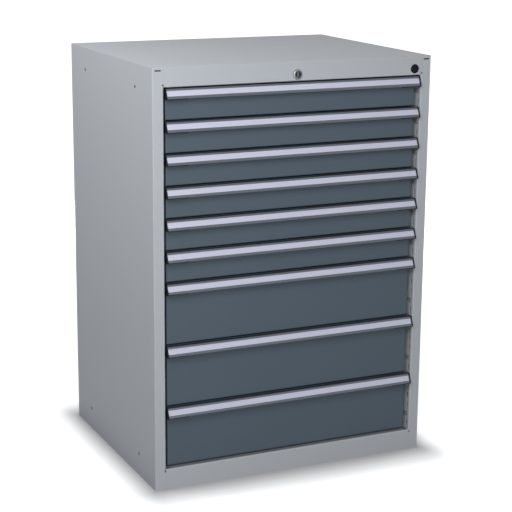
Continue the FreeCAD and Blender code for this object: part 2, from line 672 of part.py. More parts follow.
# Drawer: a folded front welded to a tray, with runners, rollers and a catch for the lock
def drawer_box(drawer):
    name = f"drawer_{drawer}_box"
    low, high = row_of(drawer)
    front = doc.addObject("PartDesign::Body", f"{name}_front")
    face = sketch(front, "XZ_Plane", f"-({FRONT_BACK_Y})")
    rectangle(face, (f"-{FRONT_HALF}", FRONT_HALF), (low, high))
    pad(front, face, "size.front_deep")
    doc.recompute()
    front_y = value(FRONT_Y)
    shape = front.Tip.Shape
    edges = edges_at(shape, "x", y=front_y) + edges_at(shape, "z", y=front_y)
    fillet(front, edges, "size.front_bend")
    hollow = sketch(front, "XZ_Plane", f"-({FRONT_BACK_Y}) - 1")
    wide = (f"-({FRONT_HALF} - size.drawer_sheet)", f"{FRONT_HALF} - size.drawer_sheet")
    rectangle(hollow, wide, (f"{low} + size.drawer_sheet", f"{high} - size.drawer_sheet"))
    pocket(front, hollow, "size.front_deep + 1 - size.front_bend", turned=True)

    floor = f"({low} + size.floor_lift)"
    rim_z = f"({high} - size.wall_drop)"
    wall_y = (FRONT_BACK_Y, TRAY_BACK_Y)
    outside = block("tray", (f"-{WALL_X}", WALL_X), wall_y, (floor, rim_z))
    inside_x = f"({WALL_X} - size.drawer_sheet)"
    inside_y = (f"{FRONT_BACK_Y} + size.drawer_sheet", f"{TRAY_BACK_Y} - size.drawer_sheet")
    inside_z = (f"{floor} + size.drawer_sheet", f"{rim_z} + 1")
    tray = cut("tray_open", outside, block("room", (f"-{inside_x}", inside_x), inside_y, inside_z))

    pieces = [front, tray]
    rollers = []
    z = f"({low} + size.slide_lift)"
    for side in (-1, 1):
        rim_x = across(side, WALL_X, f"{WALL_X} + size.rim")
        pieces.append(block("rim", rim_x, wall_y, (f"{rim_z} - size.drawer_sheet", rim_z)))
        runner_z = (f"{z} - {ROLLER_HALF}", f"{z} + {ROLLER_HALF}")
        runner_x = across(side, WALL_X, f"{WALL_X} + size.rail_sheet")
        pieces.append(block("runner", runner_x, wall_y, runner_z))
        near = f"({WALL_X} + size.rail_sheet)"
        rollers.append(roller("drawer_roller", side, near, f"{TRAY_BACK_Y} - size.roller_in", z))
    catch_y = f"({LOCK_BAR_Y} + size.bar_sheet + size.catch_gap)"
    catch = block(
        "catch",
        (WALL_X, f"{OPENING} - size.catch_clear"),
        (catch_y, f"{catch_y} + size.catch_thick"),
        (floor, f"{floor} + size.catch_tall"),
    )
    welded = fuse(f"{name}_welded", *pieces, catch)
    return new_part(name, group(name, welded, *rollers))


for drawer in DRAWERS:
    drawer_box(drawer)


# Handle: a hooked aluminium extrusion whose leaning face holds the label strip
def on_face(top, along, inward):
    """A point of the handle's section, down the leaning face and inward from it."""
    lean = "size.handle_lean"
    ahead = f"(size.handle_top + ({along}) * sin({lean}) - ({inward}) * cos({lean}))"
    down = f"(({along}) * cos({lean}) + ({inward}) * sin({lean}))"
    return f"({FRONT_Y} - {ahead})", f"({top} - {down})"


def flat_point(top, ahead, down):
    """A point of the handle's section, ahead of the drawer front and down from the top."""
    return f"({FRONT_Y} - ({ahead}))", f"({top} - ({down}))"


def handle_section(top):
    lean = "size.handle_lean"
    mouth_low = "(size.lip_top + size.label_mouth)"
    groove = "(size.lip_thick + size.groove)"
    inner_along = f"((size.handle_wall - size.face_wall * sin({lean})) / cos({lean}))"
    return [
        flat_point(top, "0", "0"),
        on_face(top, "0", "0"),
        on_face(top, "size.lip_top", "0"),
        on_face(top, "size.lip_top", "size.lip_thick"),
        on_face(top, "size.lip_top - size.tuck", "size.lip_thick"),
        on_face(top, "size.lip_top - size.tuck", groove),
        on_face(top, f"{mouth_low} + size.tuck", groove),
        on_face(top, f"{mouth_low} + size.tuck", "size.lip_thick"),
        on_face(top, mouth_low, "size.lip_thick"),
        on_face(top, mouth_low, "0"),
        on_face(top, FACE, "0"),
        on_face(top, FACE, "size.face_wall"),
        on_face(top, inner_along, "size.face_wall"),
        flat_point(top, "size.handle_wall", "size.handle_wall"),
        flat_point(top, "size.handle_wall", "size.handle_leg"),
        flat_point(top, "0", "size.handle_leg"),
    ]


def extrusion(name, corners, length):
    """A length of a section drawn in the YZ plane, centred on the cabinet's middle."""
    body = doc.addObject("PartDesign::Body", name)
    drawing = sketch(body, "YZ_Plane")
    polygon(drawing, corners)
    pad(body, drawing, length, both_ways=True)
    doc.recompute()
    return body


def section_edges(shape, corner):
    """Lengthwise edges of an extrusion through one corner of its section."""
    y, z = value(corner[0]), value(corner[1])
    return edges_at(shape, "x", y=y, z=z)


def end_cap(drawer, side, top):
    """A plate that closes one end of the handle, with a tongue under the lower lip."""
    over = "size.cap_over"
    outline = [
        flat_point(top, "0", f"-{over}"),
        on_face(top, f"-{over}", f"-{over}"),
        on_face(top, f"{FACE} + {over}", f"-{over}"),
        on_face(top, f"{FACE} + {over}", f"size.face_wall + {over}"),
        flat_point(top, f"size.handle_wall + {over}", f"size.handle_leg + {over}"),
        flat_point(top, "0", f"size.handle_leg + {over}"),
    ]
    body = doc.addObject("PartDesign::Body", f"cap_{drawer}")
    plate = sketch(body, "YZ_Plane", f"{side} * {HANDLE_X}" if side > 0 else f"-{CAP_X}")
    polygon(plate, outline)
    pad(body, plate, "size.cap_thick")
    start = f"{HANDLE_X} - size.tongue_long" if side > 0 else f"-{HANDLE_X}"
    tongue = sketch(body, "YZ_Plane", start)
    polygon(
        tongue,
        [
            on_face(top, FACE, "size.lip_thick"),
            on_face(top, f"{FACE} + size.tongue_tall", "size.lip_thick"),
            on_face(top, f"{FACE} + size.tongue_tall", "size.face_wall - size.lip_thick"),
            on_face(top, FACE, "size.face_wall - size.lip_thick"),
        ],
    )
    pad(body, tongue, "size.tongue_long")
    return body


def handle_set(drawer):
    top = row_of(drawer)[1]
    length = f"2 * {HANDLE_X}"
    handle = extrusion(f"drawer_{drawer}_handle", handle_section(top), length)
    shape = handle.Tip.Shape
    edges = section_edges(shape, on_face(top, "0", "0"))
    edges += section_edges(shape, on_face(top, FACE, "0"))
    fillet(handle, edges, "size.nose_round")
    new_part(f"drawer_{drawer}_handle", handle)

    bottom = "(size.lip_thick + size.groove)"
    surface = f"({bottom} - size.label_thick)"
    first = "(size.lip_top - size.tuck + size.label_play)"
    last = "(size.lip_top + size.label_mouth + size.tuck - size.label_play)"
    strip = [
        on_face(top, first, surface),
        on_face(top, last, surface),
        on_face(top, last, bottom),
        on_face(top, first, bottom),
    ]
    new_part(f"drawer_{drawer}_label", extrusion(f"drawer_{drawer}_label", strip, length))
    caps = [end_cap(drawer, side, top) for side in (-1, 1)]
    name = f"drawer_{drawer}_end_caps"
    new_part(name, group(name, *caps))


for drawer in DRAWERS:
    handle_set(drawer)


# Lock: cylinder in the header, turning plug, and the bar that it lifts
RIM_Y = f"({FLANGE_Y} - size.ring_proud)"
BARREL_END = f"({FLANGE_Y} + size.barrel_long)"
rim_back = "size.ring_wide / 2"
rim_front = f"{rim_back} - size.ring_taper"
rim = taper("lock_rim", rim_front, rim_back, "0", (RIM_Y, FLANGE_Y), LOCK_Z)
barrel = disc("barrel", "size.barrel_wide / 2", "0", (FLANGE_Y, BARREL_END), LOCK_Z, "Y")
bore_radius = "size.core_wide / 2 + size.core_play"
bore = disc("bore", bore_radius, "0", (f"{RIM_Y} - 1", f"{BARREL_END} + 1"), LOCK_Z, "Y")
new_part("lock_cylinder", cut("lock_cylinder", fuse("cylinder_outside", rim, barrel), bore))

CORE_Y = f"({RIM_Y} + size.core_sunk)"
CAM_Y = f"({BARREL_END} + size.cam_gap)"
CAM_END = f"({CAM_Y} + size.cam_thick)"
core = disc("core", "size.core_wide / 2", "0", (CORE_Y, f"{CAM_Y} + size.cam_thick / 2"), LOCK_Z, "Y")
cam = block(
    "cam",
    ("-size.cam_wide / 2", "size.cam_wide / 2"),
    (CAM_Y, CAM_END),
    (f"{LOCK_Z} - size.cam_wide / 2", f"{LOCK_Z} + size.cam_wide / 2"),
)
PIN_SHIFT = f"({ECCENTRIC} / sqrt(2))"
PIN_Z = f"({LOCK_Z} - {PIN_SHIFT})"
pin = disc("pin", "size.pin_wide / 2", PIN_SHIFT, (CAM_END, f"{CAM_END} + size.pin_long"), PIN_Z, "Y")
key_slot = block(
    "key_slot",
    ("-size.key_wide / 2", "size.key_wide / 2"),
    (f"{CORE_Y} - 1", f"{CORE_Y} + size.key_deep"),
    (f"{LOCK_Z} - size.key_long / 2", f"{LOCK_Z} + size.key_long / 2"),
)
new_part("lock_plug", cut("lock_plug", fuse("plug_solid", core, cam, pin), key_slot))

BAR_SPAN_Y = (LOCK_BAR_Y, f"{LOCK_BAR_Y} + size.bar_sheet")
ARM_LOW = f"({PIN_Z} - size.arm_tall / 2)"
ARM_HIGH = f"({PIN_Z} + size.arm_tall / 2)"
BAR_END_X = f"({LOCK_BAR_X} + size.bar_wide)"
LOWEST = f"({row_of(DRAWERS[-1])[0]} - size.finger_low)"
strips = [
    block("bar_strip", (LOCK_BAR_X, BAR_END_X), BAR_SPAN_Y, (LOWEST, ARM_HIGH)),
    block("bar_arm", ("-size.barrel_wide / 2", BAR_END_X), BAR_SPAN_Y, (ARM_LOW, ARM_HIGH)),
]
for drawer in DRAWERS:
    low = f"({row_of(drawer)[0]} - size.finger_low)"
    reach = (f"{UPRIGHT_X} - size.finger_out", LOCK_BAR_X)
    strips.append(block("finger", reach, BAR_SPAN_Y, (low, f"{low} + size.finger_tall")))
slot_half = "(size.pin_wide / 2 + size.pin_play)"
pin_slot = block(
    "pin_slot",
    (f"{PIN_SHIFT} - {slot_half}", f"{ECCENTRIC} + {slot_half}"),
    (f"{LOCK_BAR_Y} - 1", f"{LOCK_BAR_Y} + size.bar_sheet + 1"),
    (f"{PIN_Z} - {slot_half}", f"{PIN_Z} + {slot_half}"),
)
new_part("locking_bar", cut("locking_bar", fuse("bar_solid", *strips), pin_slot))

BLANK_Y = f"({FLANGE_Y} - size.blank_proud)"
head_back = "size.blank_wide / 2"
head_front = f"{head_back} - size.blank_taper"
head = taper("blank_head", head_front, head_back, BLANK_X, (BLANK_Y, FLANGE_Y), LOCK_Z)
stem_end = f"({FLANGE_Y} + size.blank_long)"
stem = disc("blank_stem", "size.blank_body / 2", BLANK_X, (FLANGE_Y, stem_end), LOCK_Z, "Y", FEW_SIDES)
new_part("blanking_plug", fuse("blanking_plug", head, stem))

doc.recompute()

# Every object has to be sound before anything is written
for thing in doc.Objects:
    if "Invalid" in thing.State or "Error" in thing.State:
        raise RuntimeError(f"{thing.Label} failed: {thing.State}")
for name, thing in parts.items():
    if thing.Shape.isNull() or not thing.Shape.isValid() or not thing.Shape.Solids:
        raise RuntimeError(f"{name} has no valid solid")

os.makedirs("parts", exist_ok=True)
for name, thing in parts.items():
    thing.Shape.exportStep(f"parts/{name}.step")
print(len(parts), "sub-parts,", sum(len(thing.Shape.Solids) for thing in parts.values()), "solids")
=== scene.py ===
# %% [markdown]
# # A workshop drawer cabinet
#
# The cabinet is folded from steel sheet and powder coated: a pale grey housing, nine blue-grey
# drawers, and on each drawer a bar handle with a label strip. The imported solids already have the
# true sizes, so this lesson loads them as a fixed frame, gives each one its real finish, and
# models the small pieces that are missing.

import math

import bmesh
import bpy
from mathutils import Matrix, Vector


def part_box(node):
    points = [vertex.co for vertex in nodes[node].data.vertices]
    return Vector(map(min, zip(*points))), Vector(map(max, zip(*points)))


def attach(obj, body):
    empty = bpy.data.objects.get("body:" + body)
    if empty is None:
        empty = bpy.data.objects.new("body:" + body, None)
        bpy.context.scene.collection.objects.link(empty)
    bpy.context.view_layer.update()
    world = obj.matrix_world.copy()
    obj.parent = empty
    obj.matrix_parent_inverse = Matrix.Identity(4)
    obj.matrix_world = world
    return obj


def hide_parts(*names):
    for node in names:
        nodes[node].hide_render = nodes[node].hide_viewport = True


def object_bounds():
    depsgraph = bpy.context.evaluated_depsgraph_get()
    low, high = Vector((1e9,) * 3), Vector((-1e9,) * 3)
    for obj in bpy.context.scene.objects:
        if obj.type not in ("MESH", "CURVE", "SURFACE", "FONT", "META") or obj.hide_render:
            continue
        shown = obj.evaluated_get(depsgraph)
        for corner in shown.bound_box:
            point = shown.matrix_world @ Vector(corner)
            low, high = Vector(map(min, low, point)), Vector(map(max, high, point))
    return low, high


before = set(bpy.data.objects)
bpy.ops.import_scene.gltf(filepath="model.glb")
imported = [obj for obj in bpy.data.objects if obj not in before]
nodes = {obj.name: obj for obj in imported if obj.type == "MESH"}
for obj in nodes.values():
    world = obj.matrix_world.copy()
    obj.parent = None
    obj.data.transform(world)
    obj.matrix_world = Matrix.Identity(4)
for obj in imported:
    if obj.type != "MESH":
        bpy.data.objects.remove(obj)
cad_low, cad_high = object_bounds()
scene = bpy.context.scene


def in_short(corner):
    """A corner's coordinates, rounded for printing."""
    return tuple(round(value, 4) for value in corner)


print("CAD box from", in_short(cad_low), "to", in_short(cad_high))

# %% [markdown]
# The places that the new pieces need are read from the CAD nodes. They could be typed in as
# numbers, but then a change of the solids would leave the new pieces behind. A drawer's number
# counts from the top.

# %% Places read from the solids
MM = 0.001
DRAWERS = range(1, 10)
flange_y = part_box("side_panel_left")[0].y
back_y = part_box("side_panel_left")[1].y
half_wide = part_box("side_panel_right")[1].x
high = cad_high.z


def drawer_box(number, piece):
    """Lowest and highest corner of one of a drawer's nodes."""
    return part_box(f"drawer_{number}_{piece}")


# %% [markdown]
# ## Effects that several finishes share
#
# Paint and metal have a fine grain and a slow drift of tone. Each material could hold all of
# these nodes itself. A node group with named inputs is built once instead, and every finish uses
# it with its own values. The groups give only colours and values; the shader stays in the finish.
#
# First come helpers for single nodes. An input may be a plain value or a link, and `feed` sorts
# out which, so that the finishes read like sums.

# %% Node helpers
FLOAT, COLOUR, VECTOR = "NodeSocketFloat", "NodeSocketColor", "NodeSocketVector"


def feed(tree, source, socket):
    """Links a socket to another one, or gives it a plain value."""
    if isinstance(source, bpy.types.NodeSocket):
        tree.links.new(source, socket)
    else:
        socket.default_value = source


def set_inputs(tree, node, values):
    """Gives some of a node's inputs their values or links, by name."""
    for title, source in values.items():
        feed(tree, source, node.inputs[title])


def math_node(tree, operation, first, second=0):
    """The value of a Math node; each input is a number or a socket."""
    node = tree.nodes.new("ShaderNodeMath")
    node.operation = operation
    for source, socket in zip((first, second), node.inputs):
        feed(tree, source, socket)
    return node.outputs[0]


def add(tree, first, second):
    """The sum of two numbers or sockets."""
    return math_node(tree, "ADD", first, second)


def times(tree, first, second):
    """The product of two numbers or sockets."""
    return math_node(tree, "MULTIPLY", first, second)


def scaled_colour(tree, colour, factor):
    """A colour times a factor."""
    node = tree.nodes.new("ShaderNodeVectorMath")
    node.operation = "SCALE"
    feed(tree, colour, node.inputs[0])
    feed(tree, factor, node.inputs["Scale"])
    return node.outputs["Vector"]


def noise(tree, vector, scale, detail, roughness=0.5):
    """The value of a noise texture."""
    node = tree.nodes.new("ShaderNodeTexNoise")
    set_inputs(
        tree, node, {"Vector": vector, "Scale": scale, "Detail": detail, "Roughness": roughness}
    )
    return node.outputs["Fac"]


def new_group(name, inputs, outputs):
    """A node group with named inputs and outputs, and the nodes that hold them."""
    group = bpy.data.node_groups.new(name, "ShaderNodeTree")
    for title, kind, default in inputs:
        socket = group.interface.new_socket(title, in_out="INPUT", socket_type=kind)
        socket.default_value = default
    for title, kind in outputs:
        group.interface.new_socket(title, in_out="OUTPUT", socket_type=kind)
    start = group.nodes.new("NodeGroupInput")
    end = group.nodes.new("NodeGroupOutput")
    return group, start, end


# %% [markdown]
# Powder coat melts into a skin with a fine orange peel. Its tone drifts by a few percent over a
# panel, and small specks stand out where the powder lay thicker. One noise could drive all three,
# but the drift is over a hundred times coarser than the peel and the specks, so each has its own.

# %% Powder coat group
def powder_coat_group():
    """Orange peel, specks, and a slow drift of tone and gloss."""
    group, start, end = new_group(
        "powder coat",
        [
            ("Vector", VECTOR, (0, 0, 0)),
            ("Colour", COLOUR, (0.5, 0.5, 0.5, 1)),
            ("Drift", FLOAT, 0.04),
            ("Gloss drift", FLOAT, 0.05),
            ("Roughness", FLOAT, 0.4),
        ],
        [("Colour", COLOUR), ("Roughness", FLOAT), ("Height", FLOAT)],
    )
    vector = start.outputs["Vector"]
    slow = math_node(group, "SUBTRACT", noise(group, vector, 3.5, 3), 0.5)
    fine = noise(group, vector, 900, 3, 0.6)
    peel = noise(group, vector, 420, 1)
    drift = times(group, slow, start.outputs["Drift"])
    specks = times(group, math_node(group, "SUBTRACT", fine, 0.5), 0.05)
    level = add(group, 1.0, add(group, drift, specks))
    gloss = times(group, slow, start.outputs["Gloss drift"])
    set_inputs(group, end, {
        "Colour": scaled_colour(group, start.outputs["Colour"], level),
        "Roughness": add(group, start.outputs["Roughness"], gloss),
        "Height": add(group, peel, times(group, fine, 0.35)),
    })
    return group


POWDER = powder_coat_group()
print(f"{POWDER.name}: {len(POWDER.nodes)} nodes")

# %% [markdown]
# Drawn or brushed metal has scratches that run one way. A wave texture could draw them, but its
# lines are even; a noise stretched along that way gives uneven ones. The scale is set for each
# axis, so the same group serves handles along X and rails along Y.

# %% Drawn metal group
def vector_node(tree, operation, first, second=(0, 0, 0)):
    """The result of a Vector Math node; each input is a vector or a socket."""
    node = tree.nodes.new("ShaderNodeVectorMath")
    node.operation = operation
    for source, socket in zip((first, second), node.inputs):
        feed(tree, source, socket)
    return node.outputs["Value" if operation == "LENGTH" else "Vector"]


def spread(tree, value, low, top, to_low, to_top):
    """A value moved from one range to another, and kept within it."""
    node = tree.nodes.new("ShaderNodeMapRange")
    limits = {"From Min": low, "From Max": top, "To Min": to_low, "To Max": to_top}
    set_inputs(tree, node, {"Value": value, **limits})
    return node.outputs["Result"]


def drawn_metal_group():
    """Scratches that run one way, and a slight drift of gloss."""
    group, start, end = new_group(
        "drawn metal",
        [
            ("Vector", VECTOR, (0, 0, 0)),
            ("Stretch", VECTOR, (6, 900, 900)),
            ("Colour", COLOUR, (0.5, 0.5, 0.5, 1)),
            ("Contrast", FLOAT, 0.15),
            ("Roughness", FLOAT, 0.3),
        ],
        [("Colour", COLOUR), ("Roughness", FLOAT), ("Height", FLOAT)],
    )
    vector = start.outputs["Vector"]
    stretched = vector_node(group, "MULTIPLY", vector, start.outputs["Stretch"])
    lines = noise(group, stretched, 1.0, 4, 0.65)
    cloud = spread(group, noise(group, vector, 14, 3), 0.3, 0.7, -0.03, 0.03)
    wave = math_node(group, "SUBTRACT", lines, 0.5)
    level = add(group, 1.0, times(group, wave, start.outputs["Contrast"]))
    rough = add(group, start.outputs["Roughness"], times(group, wave, 0.12))
    set_inputs(group, end, {
        "Colour": scaled_colour(group, start.outputs["Colour"], level),
        "Roughness": add(group, rough, cloud),
        "Height": lines,
    })
    return group


DRAWN = drawn_metal_group()
print(f"{DRAWN.name}: {len(DRAWN.nodes)} nodes")

# %% [markdown]
# Spot welds leave a row of shallow dimples that the paint follows. They could be cut into the
# mesh, but the CAD meshes stay as they are, and dimples so shallow show by their shading only.
# The group takes the place along the row and the distance from its line, and repeats the first by
# a pitch. It gives a height that dips inside each spot, and a mask of the spots, where the paint
# looks a little darker.

# %% Weld spots group
def weld_spots_group():
    """A row of dimples, and a mask of their spots."""
    group, start, end = new_group(
        "weld spots",
        [
            ("Along", FLOAT, 0),
            ("Off line", FLOAT, 0),
            ("Pitch", FLOAT, 0.06),
            ("Radius", FLOAT, 0.003),
        ],
        [("Height", FLOAT), ("Spot", FLOAT)],
    )
    pitch, aside = start.outputs["Pitch"], start.outputs["Off line"]
    turns = math_node(group, "DIVIDE", start.outputs["Along"], pitch)
    part = math_node(group, "SUBTRACT", math_node(group, "FRACT", turns), 0.5)
    near = times(group, part, pitch)
    squares = add(group, times(group, near, near), times(group, aside, aside))
    reach = math_node(group, "SQRT", squares)
    share = math_node(group, "DIVIDE", reach, start.outputs["Radius"])
    dip = spread(group, share, 0.55, 1.0, 0, 1)
    rim = spread(group, share, 1.0, 1.25, 0.35, 0)
    raised = times(group, rim, spread(group, share, 0.95, 1.0, 0, 1))
    set_inputs(group, end, {
        "Height": add(group, dip, raised),
        "Spot": spread(group, share, 0.6, 1.1, 1, 0),
    })
    return group


WELDS = weld_spots_group()
print(f"{WELDS.name}: {len(WELDS.nodes)} nodes")

# %% [markdown]
# ## Finishes
#
# Every finish is one Principled BSDF. Its base numbers are set on the shader; what changes over
# the surface comes from the groups. They read Object coordinates, which are metres here.
# Generated ones would stretch with each piece, and a large drawer would get a coarser grain.

# %% Finish helpers
def finish(name, metallic=0.0, roughness=0.5, specular=0.5, coat=0.0, coat_roughness=0.1):
    """A material with its shader, and the socket of its Object coordinates."""
    material = bpy.data.materials.new(name)
    material.use_nodes = True
    tree = material.node_tree
    shader = tree.nodes["Principled BSDF"]
    set_inputs(tree, shader, {
        "Metallic": metallic,
        "Roughness": roughness,
        "Specular IOR Level": specular,
        "Coat Weight": coat,
        "Coat Roughness": coat_roughness,
    })
    place = tree.nodes.new("ShaderNodeTexCoord").outputs["Object"]
    return material, tree, shader, place


def group_node(tree, group, values):
    """The outputs of a node group that gets values or links for some of its inputs."""
    node = tree.nodes.new("ShaderNodeGroup")
    node.node_tree = group
    set_inputs(tree, node, values)
    return node.outputs


def add_bump(tree, shader, height, distance, strength=0.5, under=None):
    """Feeds a height through a Bump node, on top of an earlier one if it is given."""
    bump = tree.nodes.new("ShaderNodeBump")
    set_inputs(tree, bump, {"Distance": distance, "Strength": strength, "Height": height})
    if under:
        tree.links.new(under.outputs["Normal"], bump.inputs["Normal"])
    tree.links.new(bump.outputs["Normal"], shader.inputs["Normal"])


# %% [markdown]
# The housing is a pale grey and the drawers a dark blue-grey. Both are powder coat, so one helper
# makes the two, which differ in colour, drift and gloss only.

# %% Paint
PEEL_DEPTH = 0.04 * MM


def powder_finish(name, colour, drift, roughness):
    """Powder-coated steel."""
    material, tree, shader, place = finish(name, roughness=roughness, specular=0.3)
    coat = group_node(tree, POWDER, {
        "Vector": place, "Colour": (*colour, 1), "Drift": drift, "Roughness": roughness
    })
    set_inputs(tree, shader, {"Base Color": coat["Colour"], "Roughness": coat["Roughness"]})
    add_bump(tree, shader, coat["Height"], PEEL_DEPTH)
    return material


housing_paint = powder_finish("pale grey powder coat", (0.47, 0.495, 0.525), 0.05, 0.5)
drawer_paint = powder_finish("blue-grey powder coat", (0.074, 0.101, 0.129), 0.08, 0.38)
print("paints:", housing_paint.name, "and", drawer_paint.name)

# %% [markdown]
# The back sheet is spot-welded to the rear flanges of the side panels. Their finish could be
# built anew, but a copy of the housing's paint stays the same everywhere else. The copy gets a
# second bump for the weld dimples, which counts only on the flange's outer face.

# %% Paint of the side panels
MIX_FACTOR, MIX_FIRST, MIX_SECOND, MIX_RESULT = 0, 6, 7, 2  # a Mix node's sockets for colours
WELD_PITCH, WELD_RADIUS, WELD_DEPTH = 60 * MM, 3.2 * MM, 0.3 * MM
WELD_IN = 10 * MM  # the row of welds, from the side
WELD_TONE = (0.1, 0.1, 0.11, 1)


def mix_colour(tree, factor, first, second):
    """A colour between two others."""
    node = tree.nodes.new("ShaderNodeMix")
    node.data_type = "RGBA"
    feed(tree, factor, node.inputs[MIX_FACTOR])
    feed(tree, first, node.inputs[MIX_FIRST])
    feed(tree, second, node.inputs[MIX_SECOND])
    return node.outputs[MIX_RESULT]


def housing_copy(where):
    """A copy of the housing's paint, with its nodes by type, and its X, Y and Z."""
    material = housing_paint.copy()
    material.name = f"pale grey powder coat, {where}"
    tree = material.node_tree
    found = {node.type: node for node in tree.nodes}
    parts = tree.nodes.new("ShaderNodeSeparateXYZ")
    tree.links.new(found["TEX_COORD"].outputs["Object"], parts.inputs[0])
    return material, tree, found, parts.outputs


def welded_finish():
    """The housing's paint, with a row of weld dimples down each rear flange."""
    material, tree, found, place = housing_copy("side panels")
    shader, coat, peel = found["BSDF_PRINCIPLED"], found["GROUP"], found["BUMP"]
    from_middle = math_node(tree, "ABSOLUTE", place["X"])
    spots = group_node(tree, WELDS, {
        "Along": place["Z"],
        "Off line": math_node(tree, "SUBTRACT", from_middle, half_wide - WELD_IN),
        "Pitch": WELD_PITCH,
        "Radius": WELD_RADIUS,
    })
    outer = spread(tree, place["Y"], back_y - 0.6 * MM, back_y - 0.3 * MM, 0, 1)
    height = times(tree, spots["Height"], outer)
    add_bump(tree, shader, height, WELD_DEPTH, strength=0.8, under=peel)
    # the paint is made a little darker inside each weld spot on the flange's outer face
    spot_darkening = times(tree, times(tree, spots["Spot"], outer), 0.22)
    tone = mix_colour(tree, spot_darkening, coat.outputs["Colour"], WELD_TONE)
    tree.links.new(tone, shader.inputs["Base Color"])
    return material


side_paint = welded_finish()
print(side_paint.name, "has a weld every", WELD_PITCH, "m")

# %% [markdown]
# The plinth's upper edge is folded back under the lowest drawer. That fold lies in deep shade, and
# that shade is painted: its paint is darkened from the bend inwards. A mask on the paint does it;
# a dark strip laid on the fold would be one more piece, with an edge that shows.

# %% Paint of the plinth
BLACK, WHITE = (0, 0, 0, 1), (1, 1, 1, 1)
plinth_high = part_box("plinth_panel")[1].z


def fold_shade_finish():
    """The housing's paint, with painted shade on the fold that lies under the lowest drawer."""
    material, tree, found, place = housing_copy("plinth")
    behind = spread(tree, place["Y"], flange_y + 1.2 * MM, flange_y + 2.6 * MM, 0, 1)
    above = spread(tree, place["Z"], plinth_high - 2.5 * MM, plinth_high - 1 * MM, 0, 1)
    # painted shade: the fold's colour is mixed towards black where the lowest drawer shades it
    painted_fold_shade = times(tree, times(tree, behind, above), 0.55)
    shaded_fold_colour = mix_colour(tree, painted_fold_shade, found["GROUP"].outputs["Colour"], BLACK)
    tree.links.new(shaded_fold_colour, found["BSDF_PRINCIPLED"].inputs["Base Color"])
    return material


plinth_paint = fold_shade_finish()
print(plinth_paint.name, "has its fold at", round(plinth_high, 4), "m")

# %% [markdown]
# The handles are anodised aluminium, the slides and the locking bar zinc-plated steel, and the
# lock and the axles are turned. An even colour would look like plastic, so every metal has the
# drawn metal group. Its stretch is the noise scale for each axis: a small number draws the
# scratches out along that axis, and three equal ones give a grain without a direction.

# %% Metals
SCRATCH_DEPTH = 0.02 * MM


def drawn_lines(tree, shader, place, colour, stretch, contrast, roughness):
    """Gives a shader the colour and roughness of drawn metal, and returns the height."""
    drawn = group_node(tree, DRAWN, {
        "Vector": place,
        "Stretch": stretch,
        "Colour": (*colour, 1),
        "Contrast": contrast,
        "Roughness": roughness,
    })
    set_inputs(tree, shader, {"Base Color": drawn["Colour"], "Roughness": drawn["Roughness"]})
    return drawn["Height"]


def metal_finish(name, colour, stretch, contrast, roughness, metallic=1.0):
    """Drawn, rolled or turned metal."""
    material, tree, shader, place = finish(name, metallic=metallic, roughness=roughness)
    height = drawn_lines(tree, shader, place, colour, stretch, contrast, roughness)
    add_bump(tree, shader, height, SCRATCH_DEPTH)
    return material


anodised = metal_finish(
    "anodised aluminium", (0.115, 0.125, 0.15),
    stretch=(4, 1500, 1500), contrast=0.20, roughness=0.38, metallic=0.8,
)
zinc_along_y = metal_finish(
    "zinc plate, rolled along Y", (0.36, 0.37, 0.38),
    stretch=(500, 5, 500), contrast=0.2, roughness=0.38, metallic=0.7,
)
rail_zinc = metal_finish(
    "zinc plate, dull", (0.42, 0.43, 0.44),
    stretch=(500, 5, 500), contrast=0.18, roughness=0.42, metallic=0.45,
)
zinc_along_z = metal_finish(
    "zinc plate, rolled along Z", (0.50, 0.52, 0.53),
    stretch=(500, 500, 5), contrast=0.18, roughness=0.32,
)
lock_chrome = metal_finish(
    "lock nickel, satin", (0.30, 0.305, 0.31),
    stretch=(300, 300, 300), contrast=0.06, roughness=0.26,
)
lock_dark = metal_finish(
    "lock face, dark nickel", (0.022, 0.022, 0.024),
    stretch=(300, 300, 300), contrast=0.08, roughness=0.35,
)
axle_steel = metal_finish(
    "axle steel", (0.45, 0.46, 0.47),
    stretch=(400, 400, 400), contrast=0.1, roughness=0.28,
)
METALS = (anodised, zinc_along_y, rail_zinc, zinc_along_z, lock_chrome, lock_dark, axle_steel)
print("metals:", ", ".join(metal.name for metal in METALS))

# %% [markdown]
# End caps, plugs and rollers are moulded, and their moulds leave a fine grain. A plain colour
# would do from afar; the grain breaks up the gloss when the camera comes close.

# %% Plastics
GRAIN_DEPTH = 0.02 * MM


def plastic_finish(name, colour, roughness, specular=0.4):
    """Moulded plastic with a fine grain."""
    material, tree, shader, place = finish(name, roughness=roughness, specular=specular)
    speckle = noise(tree, place, 1800, 2)
    tone = spread(tree, noise(tree, place, 40, 3), 0.3, 0.7, 0.9, 1.1)
    set_inputs(tree, shader, {
        "Base Color": scaled_colour(tree, colour, tone),
        "Roughness": spread(tree, speckle, 0.3, 0.7, roughness - 0.05, roughness + 0.05),
    })
    add_bump(tree, shader, speckle, GRAIN_DEPTH)
    return material


cap_plastic = plastic_finish("end cap plastic", (0.007, 0.008, 0.011), 0.5, specular=0.15)
plug_plastic = plastic_finish("blanking plug plastic", (0.004, 0.004, 0.005), 0.55, specular=0.12)
nylon = plastic_finish("roller nylon", (0.55, 0.54, 0.50), 0.38)
print("plastics:", ", ".join(piece.name for piece in (cap_plastic, plug_plastic, nylon)))

# %% [markdown]
# Each handle holds a paper strip behind a clear cover. The cover could be a thin sheet of its own,
# but a coat on the paper's shader gives the same shine and leaves the CAD strip as it is.

# %% The label
def label_finish():
    """Pale lilac paper behind a clear cover, with faint lines along it."""
    material, tree, shader, place = finish(
        "label strip", roughness=0.3, coat=0.6, coat_roughness=0.08
    )
    drawn_lines(
        tree, shader, place, (0.575, 0.585, 0.71),
        stretch=(3, 900, 900), contrast=0.10, roughness=0.32,
    )
    return material


label_paper = label_finish()
print(len(bpy.data.materials), "materials")

